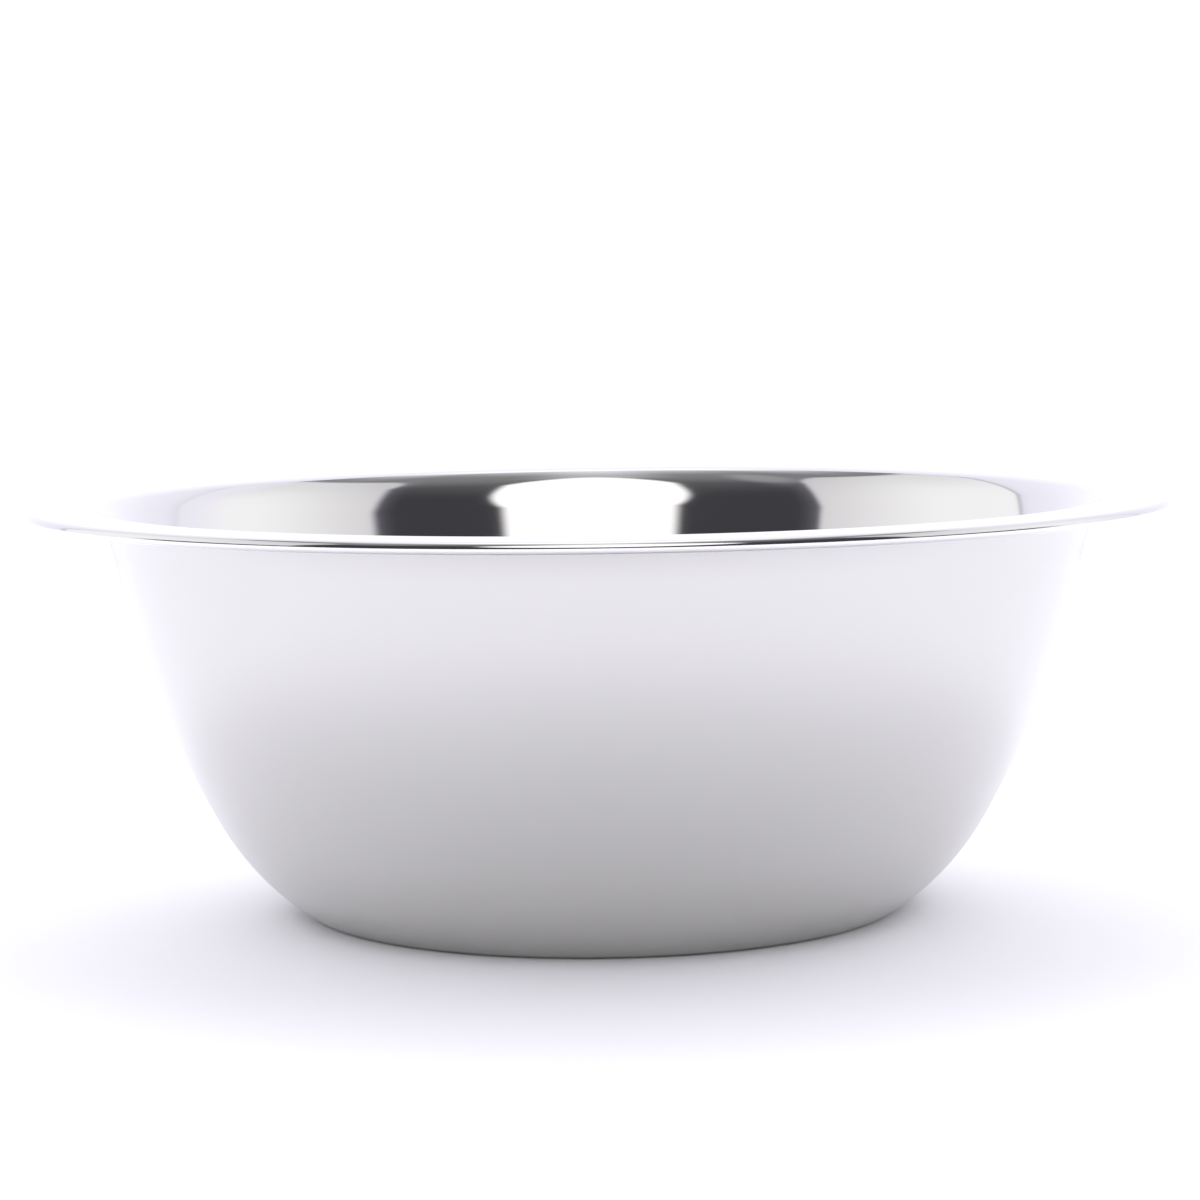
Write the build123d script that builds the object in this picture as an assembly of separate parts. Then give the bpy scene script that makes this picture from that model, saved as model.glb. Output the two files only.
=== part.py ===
from build123d import *
import math
import os

# Mixing bowl: one disc of stainless-steel sheet, drawn deep, with a flat pouring flange and its
# edge rolled under into an open bead. It has no other piece: no ring, handle, wire or fastener.
# Millimetres. Origin at the centre of the base's underside, +Z up the bowl's axis.

# Overall
RIM_DIAMETER = 300.0  # over the rolled bead
HEIGHT = 108.6  # from the table to the top of the flange
SHEET = 0.7  # thickness of the steel

# Outside face, from the axis to the bead: a flat, a chain of tangent arcs and one straight cone.
# Each arc is its radius and the slope that it ends at, in degrees from horizontal.
BASE_FLAT_RADIUS = 76.3
BASE_CORNER = (6.0, 34.2)
LOWER_BELLY = (71.5, 60.7)
UPPER_BELLY = (229.0, 77.0)
NECK = (39.3, 67.0)  # from here on the wall turns outwards
FLARE = (13.3, 50.0)
FLANGE_CORNER = (2.3, 0.0)
BEAD_RADIUS = 1.5  # outside of the rolled edge
CURL_TURN = 280.0  # how far the edge is rolled, from the flange round to its own tip

BOWL_ARCS = (BASE_CORNER, LOWER_BELLY, UPPER_BELLY)
RIM_ARCS = (NECK, FLARE, FLANGE_CORNER)
CONE_SLOPE = UPPER_BELLY[1]


def height_of(arcs, start_slope):
    """Height gained along a chain of arcs."""
    height, slope = 0.0, start_slope
    for radius, end_slope in arcs:
        height += radius * abs(math.cos(math.radians(slope)) - math.cos(math.radians(end_slope)))
        slope = end_slope
    return height


# The cone fills the height left between the belly and the neck.
CONE_FOOT = height_of(BOWL_ARCS, 0)
CONE_TOP = HEIGHT - SHEET - height_of(RIM_ARCS, CONE_SLOPE)
CONE_LENGTH = (CONE_TOP - CONE_FOOT) / math.sin(math.radians(CONE_SLOPE))
BEAD_CENTRE_RADIUS = RIM_DIAMETER / 2 - BEAD_RADIUS


def sheet_face(depth):
    """One face of the sheet, from the axis to the tip of the curl.

    depth is how far into the steel it lies: 0 is the outside face, SHEET the inside face.
    """
    runs = [Line((0, depth), (BASE_FLAT_RADIUS, depth))]
    slope = 0.0
    for radius, end_slope in BOWL_ARCS:
        runs.append(JernArc(runs[-1] @ 1, runs[-1] % 1, radius - depth, end_slope - slope))
        slope = end_slope
    cone_foot = runs[-1] @ 1
    runs.append(Line(cone_foot, cone_foot + (runs[-1] % 1) * CONE_LENGTH))
    for radius, end_slope in RIM_ARCS:
        runs.append(JernArc(runs[-1] @ 1, runs[-1] % 1, radius + depth, end_slope - slope))
        slope = end_slope
    flange_inner = runs[-1] @ 1
    runs.append(Line(flange_inner, (BEAD_CENTRE_RADIUS, flange_inner.Y)))
    runs.append(JernArc(runs[-1] @ 1, runs[-1] % 1, BEAD_RADIUS - SHEET + depth, -CURL_TURN))
    return Wire(runs)


def bowl_shell():
    """The whole bowl: the sheet's cross-section turned about the axis."""
    outside, inside = sheet_face(0), sheet_face(SHEET)
    on_axis = Line(outside @ 0, inside @ 0)
    cut_edge = Line(outside @ 1, inside @ 1)
    section = make_face([*outside.edges(), *inside.edges(), on_axis, cut_edge])
    return revolve(Plane.XZ * section, Axis.Z, 360)


nodes = {"bowl_shell": bowl_shell()}

os.makedirs("parts", exist_ok=True)
for name, shape in nodes.items():
    shape.label = name
    export_step(shape, f"parts/{name}.step")
    size = shape.bounding_box().size
    print(f"{name}: {size.X:.2f} x {size.Y:.2f} x {size.Z:.2f} mm, {shape.volume / 1000:.1f} cm3")
print(f"cone from height {CONE_FOOT:.2f} to {CONE_TOP:.2f} mm")
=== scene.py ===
import math
import bpy
from mathutils import Matrix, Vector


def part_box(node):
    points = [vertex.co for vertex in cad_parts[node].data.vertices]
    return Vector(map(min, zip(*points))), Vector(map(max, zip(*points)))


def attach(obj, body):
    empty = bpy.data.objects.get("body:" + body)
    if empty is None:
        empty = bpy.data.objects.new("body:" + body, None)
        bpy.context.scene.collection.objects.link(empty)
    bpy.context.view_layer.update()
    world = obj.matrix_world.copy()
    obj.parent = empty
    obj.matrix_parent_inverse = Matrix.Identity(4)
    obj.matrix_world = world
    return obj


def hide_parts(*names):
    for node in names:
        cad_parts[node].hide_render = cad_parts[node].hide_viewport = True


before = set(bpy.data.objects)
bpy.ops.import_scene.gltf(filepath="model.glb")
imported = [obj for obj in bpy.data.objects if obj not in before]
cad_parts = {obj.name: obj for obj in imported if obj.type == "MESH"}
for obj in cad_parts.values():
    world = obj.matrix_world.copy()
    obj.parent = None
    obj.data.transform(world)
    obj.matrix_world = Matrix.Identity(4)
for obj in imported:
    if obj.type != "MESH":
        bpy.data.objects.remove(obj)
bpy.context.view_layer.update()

# ---------------------------------------------------------------------------------------------
# Driving dimensions, in metres, and slopes in degrees from horizontal. The rim's size and height
# come from the frame; the section is the CAD part's: a flat, tangent arcs and one straight cone.
# ---------------------------------------------------------------------------------------------
NODE = "bowl_shell"
node_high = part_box(NODE)[1]
RIM_RADIUS = node_high.x
HEIGHT = node_high.z
SHEET = 0.0007

# Each arc is its radius on the outside face and the slope that it ends at.
BASE_FLAT_RADIUS = 0.0763
BASE_CORNER = (0.006, 34.2)
LOWER_BELLY = (0.0715, 60.7)
UPPER_BELLY = (0.229, 77.0)
NECK = (0.0393, 67.0)
FLARE = (0.0133, 50.0)
FLANGE_CORNER = (0.0023, 0.0)
BEAD_RADIUS = 0.0015
CURL_TURN = 280.0

BOWL_ARCS = (BASE_CORNER, LOWER_BELLY, UPPER_BELLY)
RIM_ARCS = (NECK, FLARE, FLANGE_CORNER)
CONE_SLOPE = UPPER_BELLY[1]

SEGMENTS = 256  # round the axis
FLAT_STEP = 0.010  # longest ring spacing on a straight run
ARC_STEP = 0.0025  # longest ring spacing on an arc
TURN_STEP = 9.0  # most degrees that one ring turns from the last


# ---------------------------------------------------------------------------------------------
# The bowl: the sheet's section turned about the axis
# ---------------------------------------------------------------------------------------------
def height_of(arcs, start_slope):
    """Height gained along a chain of arcs."""
    height, slope = 0.0, start_slope
    for radius, end_slope in arcs:
        height += radius * abs(math.cos(math.radians(slope)) - math.cos(math.radians(end_slope)))
        slope = end_slope
    return height


class FaceLine:
    """A chain of tangent runs and arcs in the section plane, with the steel's normal at each point.

    side is +1 for the inside face and -1 for the outside face: the way its normal points.
    """

    def __init__(self, height, side):
        self.r, self.z, self.slope, self.side = 0.0, height, 0.0, side
        self.points = []  # (radius, height, normal's radius, normal's height, zone)
        self.add("wall")

    def add(self, zone):
        s = math.radians(self.slope)
        normal = (-math.sin(s) * self.side, math.cos(s) * self.side)
        self.points.append((self.r, self.z, *normal, zone))

    def run(self, length, zone):
        """A straight run along the present slope."""
        steps = math.ceil(length / FLAT_STEP)
        s = math.radians(self.slope)
        for _ in range(steps):
            self.r += length / steps * math.cos(s)
            self.z += length / steps * math.sin(s)
            self.add(zone)

    def turn(self, radius, end_slope, zone):
        """An arc from the present slope to another, curving up to a steeper one and down to a flatter."""
        start_r, start_z, start = self.r, self.z, self.slope
        degrees = end_slope - start
        length = radius * abs(math.radians(degrees))
        steps = math.ceil(max(length / ARC_STEP, abs(degrees) / TURN_STEP))
        way = math.copysign(radius, degrees)
        first = math.radians(start)
        for i in range(steps):
            self.slope = start + degrees * (i + 1) / steps
            now = math.radians(self.slope)
            self.r = start_r + way * (math.sin(now) - math.sin(first))
            self.z = start_z + way * (math.cos(first) - math.cos(now))
            self.add(zone)


def face_line(depth, side):
    """One face of the sheet, depth into the steel from the outside face."""
    cone_height = HEIGHT - SHEET - height_of(BOWL_ARCS, 0) - height_of(RIM_ARCS, CONE_SLOPE)
    line = FaceLine(depth, side)
    line.run(BASE_FLAT_RADIUS, "wall")
    for radius, end_slope in BOWL_ARCS:
        line.turn(radius - depth, end_slope, "wall")
    line.run(cone_height / math.sin(math.radians(CONE_SLOPE)), "wall")
    for radius, end_slope in RIM_ARCS:
        line.turn(radius + depth, end_slope, "wall" if end_slope else "rim")
    line.run(RIM_RADIUS - BEAD_RADIUS - line.r, "rim")
    line.turn(BEAD_RADIUS - SHEET + depth, -CURL_TURN, "rim")
    return line.points


INSIDE, OUTSIDE, RIM = 0, 1, 2  # material slots, in the order of FINISHES


def bowl_mesh():
    inside, outside = face_line(SHEET, 1), face_line(0.0, -1)
    verts, normals, faces, slots = [], [], [], []

    def ring(point):
        """Adds the vertices that a point sweeps out, or one vertex on the axis, and says which is first."""
        r, z, nr, nz, _ = point
        first = len(verts)
        for i in range(SEGMENTS if r > 0 else 1):
            a = 2 * math.pi * i / SEGMENTS
            verts.append((r * math.cos(a), r * math.sin(a), z))
            normals.append((nr * math.cos(a), nr * math.sin(a), nz))
        return first

    def strip(low, high, low_is_pole, flip, slot):
        """Adds the faces between two rings, given by their first vertices."""
        for i in range(SEGMENTS):
            j = (i + 1) % SEGMENTS
            if low_is_pole:
                face = (low, high + i, high + j)
            else:
                face = (low + i, high + i, high + j, low + j)
            faces.append(face[::-1] if flip else face)
            slots.append(slot)

    tips = []
    for points, slot, flip in ((inside, INSIDE, False), (outside, OUTSIDE, True)):
        rings = [ring(p) for p in points]
        for k in range(len(points) - 1):
            finish = RIM if points[k + 1][4] == "rim" else slot
            strip(rings[k], rings[k + 1], k == 0, flip, finish)
        tips.append(rings[-1])
    # The sheet's cut edge, at the end of the curl.
    strip(tips[0], tips[1], False, False, RIM)

    mesh = bpy.data.meshes.new("bowl")
    mesh.from_pydata(verts, [], faces)
    mesh.polygons.foreach_set("material_index", slots)
    mesh.shade_smooth()
    mesh.normals_split_custom_set_from_vertices(normals)
    mesh.validate()
    mesh.update()
    return mesh


# ---------------------------------------------------------------------------------------------
# Node helpers
# ---------------------------------------------------------------------------------------------
class Graph:
    """Small wrapper that makes shader nodes read like expressions."""

    def __init__(self, tree):
        self.tree = tree
        tree.nodes.clear()

    def node(self, kind, inputs=None, **settings):
        """A new node, with its inputs set or linked by name."""
        made = self.tree.nodes.new(kind)
        for key, value in settings.items():
            setattr(made, key, value)
        for key, value in (inputs or {}).items():
            self.put(made.inputs[key], value)
        return made

    def put(self, socket, value):
        if isinstance(value, bpy.types.NodeSocket):
            self.tree.links.new(value, socket)
        else:
            socket.default_value = value

    def math(self, operation, *values):
        made = self.node("ShaderNodeMath", operation=operation)
        for socket, value in zip(made.inputs, values):
            self.put(socket, value)
        return made.outputs[0]

    def step(self, value, start, end, low=0.0, high=1.0):
        """Goes smoothly from low to high as value goes from start to end."""
        inputs = {"Value": value, "From Min": start, "From Max": end, "To Min": low, "To Max": high}
        return self.node("ShaderNodeMapRange", inputs, interpolation_type="SMOOTHSTEP").outputs[0]

    def blend(self, share, a, b):
        """Shader a, going to shader b as share goes to 1."""
        made = self.node("ShaderNodeMixShader")
        for socket, value in zip(made.inputs, (share, a, b)):
            self.put(socket, value)
        return made.outputs[0]

    def mix(self, share, a, b):
        """Colour a, going to colour b as share goes to 1."""
        inputs = {"Factor": share, "A": a, "B": b}
        return self.node("ShaderNodeMix", inputs, data_type="RGBA").outputs["Result"]


# ---------------------------------------------------------------------------------------------
# Steel
# ---------------------------------------------------------------------------------------------
POLISHED = (0.80, 0.79, 0.80)
SATIN = (0.65, 0.645, 0.625)
PATCH_TONE = 0.985  # the darkest patches' share of the colour
POLISH_DEPTH = 0.0000004  # of the polishing lines, in metres
POLISH_SPACING = 0.0006
SATIN_DEPTH = 0.000002
SATIN_SPACING = 0.0005
SHEET_WOBBLE = 0.000012
FINISHES = (
    # name, colour, roughness, how much that varies, the lines' depth and spacing, and the sheet's wobble
    ("steel_mirror", POLISHED, 0.07, 0.03, POLISH_DEPTH, POLISH_SPACING, SHEET_WOBBLE),
    ("steel_satin", SATIN, 0.24, 0.05, SATIN_DEPTH, SATIN_SPACING, SHEET_WOBBLE),
    ("steel_rim", POLISHED, 0.08, 0.03, POLISH_DEPTH, POLISH_SPACING, 0.0),
)
LINE_CLIMB = 1.7  # how much faster the lines' pattern varies with height than with radius
LINE_DRIFT = 9.0  # how fast it varies across the bowl, per metre
WOBBLE_SCALE = 14.0
PATCH_SCALE = 45.0


def steel(name, colour, roughness, roughness_change, line_depth, line_spacing, wobble):
    """Stainless steel polished round the axis.

    line_depth and line_spacing are the polishing lines', and wobble is the height of the slow
    unevenness that a drawn sheet keeps under its polish, in metres.
    """
    material = bpy.data.materials.new(name)
    material.use_nodes = True
    g = Graph(material.node_tree)
    place = g.node("ShaderNodeTexCoord").outputs["Object"]
    x, y, z = g.node("ShaderNodeSeparateXYZ", {"Vector": place}).outputs
    radius = g.math("SQRT", g.math("ADD", g.math("MULTIPLY", x, x), g.math("MULTIPLY", y, y)))
    # Lines run round the axis, so their pattern varies fast along the section and slowly round it.
    along = g.math("ADD", radius, g.math("MULTIPLY", z, LINE_CLIMB))
    lines_at = g.node("ShaderNodeCombineXYZ", {"X": g.math("DIVIDE", along, line_spacing),
                                               "Y": g.math("MULTIPLY", x, LINE_DRIFT),
                                               "Z": g.math("MULTIPLY", y, LINE_DRIFT)}).outputs[0]
    lines = g.node("ShaderNodeTexNoise", {"Vector": lines_at, "Scale": 1.0, "Detail": 3.0,
                                          "Roughness": 0.6}).outputs["Fac"]
    slow = g.node("ShaderNodeTexNoise", {"Vector": place, "Scale": WOBBLE_SCALE, "Detail": 2.0,
                                         "Roughness": 0.45}).outputs["Fac"]
    patches = g.node("ShaderNodeTexNoise", {"Vector": place, "Scale": PATCH_SCALE, "Detail": 4.0,
                                            "Roughness": 0.55}).outputs["Fac"]
    rough = roughness
    for noise in (patches, lines):
        change = g.math("MULTIPLY", g.math("SUBTRACT", noise, 0.5), roughness_change)
        rough = g.math("ADD", rough, change)
    tone = g.mix(patches, (*(c * PATCH_TONE for c in colour), 1.0), (*colour, 1.0))
    bumps = g.node("ShaderNodeBump", {"Height": slow, "Distance": wobble, "Strength": 1.0})
    bumps = g.node("ShaderNodeBump", {"Height": lines, "Distance": line_depth, "Strength": 1.0,
                                      "Normal": bumps.outputs[0]})
    shader = g.node("ShaderNodeBsdfPrincipled", {"Base Color": tone, "Metallic": 1.0, "Roughness": rough,
                                                 "Normal": bumps.outputs[0]})
    out = g.node("ShaderNodeOutputMaterial")
    g.put(out.inputs["Surface"], shader.outputs[0])
    return material


bowl = bpy.data.objects.new("steel_bowl", bowl_mesh())
bpy.context.scene.collection.objects.link(bowl)
for finish in FINISHES:
    bowl.data.materials.append(steel(*finish))
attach(bowl, "root")
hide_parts(NODE)


# ---------------------------------------------------------------------------------------------
# Studio: a round of white paper under the bowl, and soft light placed by direction
#
# Azimuth is in degrees from the front, -Y, positive to the right, and elevation is from level. A pair
# of angles is where a change starts and where it ends.
# ---------------------------------------------------------------------------------------------
FLOOR_RADIUS = 0.75
FLOOR_HOLE = 0.075  # so that the base can be seen from below
FLOOR_SIDES = 128
FLOOR_GAP = 0.00005  # under the base
FLOOR_COLOUR = (0.88, 0.88, 0.885, 1.0)

# What the steel mirrors.
ROOM_DARK = (0.056, 0.055, 0.062, 1.0)
ROOM_DIM = (0.26, 0.26, 0.265, 1.0)
SOFT_BOX = (1.40, 1.39, 1.42, 1.0)
CLOTH_EDGE = (1.02, 1.01, 1.10, 1.0)
CLOTH = (1.15, 1.14, 1.24, 1.0)
PANEL_INNER = (0.80, 0.79, 0.795, 1.0)
PANEL_OUTER = (1.12, 1.12, 1.12, 1.0)
PANEL_TOP = (0.30, 0.30, 0.30, 1.0)
PANEL_EDGE = (0.45, 0.44, 0.50, 1.0)
GLINT = (0.42, 0.42, 0.43, 1.0)
FRONT_LIGHT = (1.38, 1.37, 1.35, 1.0)

ROOM_LIFT = (28.0, 62.0)  # elevations over which the room gets lighter
OVERHEAD = (60.0, 95.0)  # elevations of the soft box overhead, in front
OVERHEAD_SIDES = (60.0, 90.0)  # azimuths over which it comes lower, to the sides and behind
OVERHEAD_DROP = 9.0
GLOW_ACROSS, GLOW_UP, GLOW_SHARE = (34.0, 4.0), (52.0, 60.0), 0.25  # its light on the front of the room
CLOTH_START = (122.0, 124.0)
CLOTH_ACROSS = (132.0, 172.0)  # from its edge's colour to its middle's
CLOTH_UP = (55.0, 80.0)  # into the soft box's colour

PANEL_ACROSS = (48.0, 104.0)  # from the inner colour to the outer
PANEL_UP, PANEL_UP_SHARE = (20.0, 54.0), 0.3
PANEL_TO_CLOTH = (106.0, 128.0)  # the right panel fades into the cloth
# Each panel's left and right sides, top and corner radius, and how far its dim edge shows on the right.
PANELS = ((-129.0, -60.6, 50.5, 15.0, 0.2),
          (61.9, 129.0, 52.0, 9.0, -1.0))
PANEL_SOFT = 1.0
EDGE_LEFT, EDGE_TOP = 1.2, 0.5  # how far the dim edge shows past the panel
SPILL_SIDES, SPILL_TOP, SPILL_SOFT, SPILL_SHARE = 3.0, 4.0, 4.5, 0.2  # the edge's light on the room

# Oval lights: azimuth and elevation, half width, reach up, reach down and softness.
OVAL_POWER = 1.8  # 2 is an ellipse, and less is more pointed
GLINT_OVAL, GLINT_SHARE = (-54.0, 52.0, 9.0, 9.0, 12.0, 0.5), 0.7
FRONT_OVAL = (2.3, 32.0, 27.2, 27.0, 22.5, 0.06)

# Below level, past the paper's edge, the front of the room is dark.
BELOW_UP, BELOW_ACROSS = (4.0, 1.0), (105.0, 90.0)

# What lights the paper, and what the camera sees behind the bowl.
SEEN_BACKDROP = (1.1, 1.1, 1.1, 1.0)
FILL_FRONT = (1.17, 1.16, 1.28, 1.0)
FILL_BACK = (3.20, 3.17, 3.51, 1.0)
FILL_TOP = (0.30, 0.30, 0.32, 1.0)
FILL_LEVEL = (0.10, 0.10, 0.11, 1.0)
FILL_SIDES, FILL_HIGH = (45.0, 75.0), (38.0, 52.0)  # strong from high at the sides
FILL_BEHIND = (105.0, 145.0)  # and from behind
FILL_TOP_UP = (61.0, 71.0)
FILL_LEVEL_UP = (16.0, 4.0)


def floor():
    """A round of paper. Its hole is all under the base."""
    mesh = bpy.data.meshes.new("floor")
    turns = [2 * math.pi * i / FLOOR_SIDES for i in range(FLOOR_SIDES)]
    corners = [(radius * math.cos(t), radius * math.sin(t), -FLOOR_GAP)
               for radius in (FLOOR_HOLE, FLOOR_RADIUS) for t in turns]
    quads = [(i, i + FLOOR_SIDES, (i + 1) % FLOOR_SIDES + FLOOR_SIDES, (i + 1) % FLOOR_SIDES)
             for i in range(FLOOR_SIDES)]
    mesh.from_pydata(corners, [], quads)
    made = bpy.data.objects.new("floor", mesh)
    bpy.context.scene.collection.objects.link(made)
    material = bpy.data.materials.new("floor_paper")
    material.use_nodes = True
    g = Graph(material.node_tree)
    paper = g.node("ShaderNodeBsdfDiffuse", {"Color": FLOOR_COLOUR})
    clear = g.node("ShaderNodeBsdfTransparent")
    # Seen from below it is clear, so that the bowl's underside can be looked at.
    below = g.node("ShaderNodeNewGeometry").outputs["Backfacing"]
    out = g.node("ShaderNodeOutputMaterial")
    g.put(out.inputs["Surface"], g.blend(below, paper.outputs[0], clear.outputs[0]))
    mesh.materials.append(material)


class Sky(Graph):
    """The studio as seen from the bowl: bright panels in a dim room, placed by direction."""

    def __init__(self, tree):
        super().__init__(tree)
        way = self.node("ShaderNodeTexCoord").outputs["Generated"]
        x, y, z = self.node("ShaderNodeSeparateXYZ", {"Vector": way}).outputs
        self.elevation = self.math("DEGREES", self.math("ARCSINE", z))
        self.azimuth = self.math("DEGREES", self.math("ARCTAN2", x, self.math("MULTIPLY", y, -1.0)))
        self.off_front = self.math("ABSOLUTE", self.azimuth)

    def length(self, a, b, power=2.0):
        """Distance over a and b."""
        parts = [self.math("POWER", self.math("ABSOLUTE", v), power) for v in (a, b)]
        return self.math("POWER", self.math("ADD", *parts), 1.0 / power)

    def panel(self, left, right, top, corner, soft):
        """1 on a panel that stands from the floor up to top, with round top corners, and 0 off it."""
        across = self.math("ABSOLUTE", self.math("SUBTRACT", self.azimuth, (left + right) / 2))
        across = self.math("MAXIMUM", self.math("SUBTRACT", across, (right - left) / 2 - corner), 0.0)
        up = self.math("MAXIMUM", self.math("SUBTRACT", self.elevation, top - corner), 0.0)
        return self.step(self.length(across, up), corner + soft, corner - soft)

    def soft_box(self, azimuth, elevation, half_width, rise, drop, soft):
        """1 on an oval light that reaches rise above its widest level and drop below it, and 0 off it."""
        across = self.math("DIVIDE", self.math("SUBTRACT", self.azimuth, azimuth), half_width)
        up = self.math("SUBTRACT", self.elevation, elevation)
        up = self.math("MAXIMUM", self.math("DIVIDE", up, rise), self.math("DIVIDE", up, -drop))
        return self.step(self.length(across, up, OVAL_POWER), 1.0 + soft, 1.0 - soft)


def mirrored_light(g):
    """The studio as the steel mirrors it."""
    # The room is dark, gets lighter upwards and ends in a soft box overhead. A white cloth is behind.
    light = g.mix(g.step(g.elevation, *ROOM_LIFT), ROOM_DARK, ROOM_DIM)
    high = g.math("ADD", g.elevation, g.step(g.off_front, *OVERHEAD_SIDES, 0.0, OVERHEAD_DROP))
    light = g.mix(g.step(high, *OVERHEAD), light, SOFT_BOX)
    glow = g.step(g.elevation, *GLOW_UP, 0.0, GLOW_SHARE)
    light = g.mix(g.math("MULTIPLY", g.step(g.off_front, *GLOW_ACROSS), glow), light, SOFT_BOX)
    cloth = g.mix(g.step(g.off_front, *CLOTH_ACROSS), CLOTH_EDGE, CLOTH)
    cloth = g.mix(g.step(g.elevation, *CLOTH_UP), cloth, SOFT_BOX)
    light = g.mix(g.step(g.off_front, *CLOTH_START), light, cloth)

    # Two side panels, dimmer towards the front and the top, each with a dim edge that spills a little.
    side = g.mix(g.step(g.off_front, *PANEL_ACROSS), PANEL_INNER, PANEL_OUTER)
    side = g.mix(g.step(g.elevation, *PANEL_UP, 0.0, PANEL_UP_SHARE), side, PANEL_TOP)
    side = g.mix(g.step(g.azimuth, *PANEL_TO_CLOTH), side, CLOTH_EDGE)
    for left, right, top, corner, edge_right in PANELS:
        spill = g.panel(left - SPILL_SIDES, right + SPILL_SIDES, top + SPILL_TOP, corner, SPILL_SOFT)
        light = g.mix(g.math("MULTIPLY", spill, SPILL_SHARE), light, PANEL_EDGE)
        edge = g.panel(left - EDGE_LEFT, right + edge_right, top + EDGE_TOP, corner, PANEL_SOFT)
        light = g.mix(edge, light, PANEL_EDGE)
        light = g.mix(g.panel(left, right, top, corner, PANEL_SOFT), light, side)

    light = g.mix(g.math("MULTIPLY", g.soft_box(*GLINT_OVAL), GLINT_SHARE), light, GLINT)
    light = g.mix(g.soft_box(*FRONT_OVAL), light, FRONT_LIGHT)
    below = g.math("MULTIPLY", g.step(g.elevation, *BELOW_UP), g.step(g.off_front, *BELOW_ACROSS))
    return g.mix(below, light, ROOM_DARK)


def studio_world():
    """One world light that differs for mirrored rays, for the paper and for the camera."""
    world = bpy.data.worlds.new("studio")
    world.use_nodes = True
    bpy.context.scene.world = world
    g = Sky(world.node_tree)
    # The paper is lit most from behind and from high at the sides.
    strong = g.math("MULTIPLY", g.step(g.off_front, *FILL_SIDES), g.step(g.elevation, *FILL_HIGH))
    strong = g.math("MAXIMUM", strong, g.step(g.off_front, *FILL_BEHIND))
    fill = g.mix(strong, FILL_FRONT, FILL_BACK)
    fill = g.mix(g.step(g.elevation, *FILL_TOP_UP), fill, FILL_TOP)
    fill = g.mix(g.step(g.elevation, *FILL_LEVEL_UP), fill, FILL_LEVEL)
    mirrored, filling, seen = (
        g.node("ShaderNodeBackground", {"Color": colour}).outputs[0]
        for colour in (mirrored_light(g), fill, SEEN_BACKDROP))
    ray = g.node("ShaderNodeLightPath").outputs
    out = g.node("ShaderNodeOutputWorld")
    shown = g.blend(ray["Is Diffuse Ray"], mirrored, filling)
    g.put(out.inputs["Surface"], g.blend(ray["Is Camera Ray"], shown, seen))


CAMERA_PLACE = (0.0, -0.9222, 0.1699)
CAMERA_TILT = math.radians(5.50)  # downwards
CAMERA_ROLL = math.radians(-0.79)  # negative is clockwise, seen from behind the camera
SENSOR_MM, LENS_MM = 36.0, 104.57


def camera():
    """Camera at the bowl's front, a little above the rim, with a long lens."""
    data = bpy.data.cameras.new("camera")
    data.sensor_width = SENSOR_MM
    data.lens = LENS_MM
    made = bpy.data.objects.new("camera", data)
    made.matrix_world = (Matrix.Translation(CAMERA_PLACE)
                         @ Matrix.Rotation(math.radians(90.0) - CAMERA_TILT, 4, "X")
                         @ Matrix.Rotation(CAMERA_ROLL, 4, "Z"))
    bpy.context.scene.collection.objects.link(made)
    bpy.context.scene.camera = made


floor()
studio_world()
camera()
bpy.context.scene.view_settings.view_transform = "Standard"
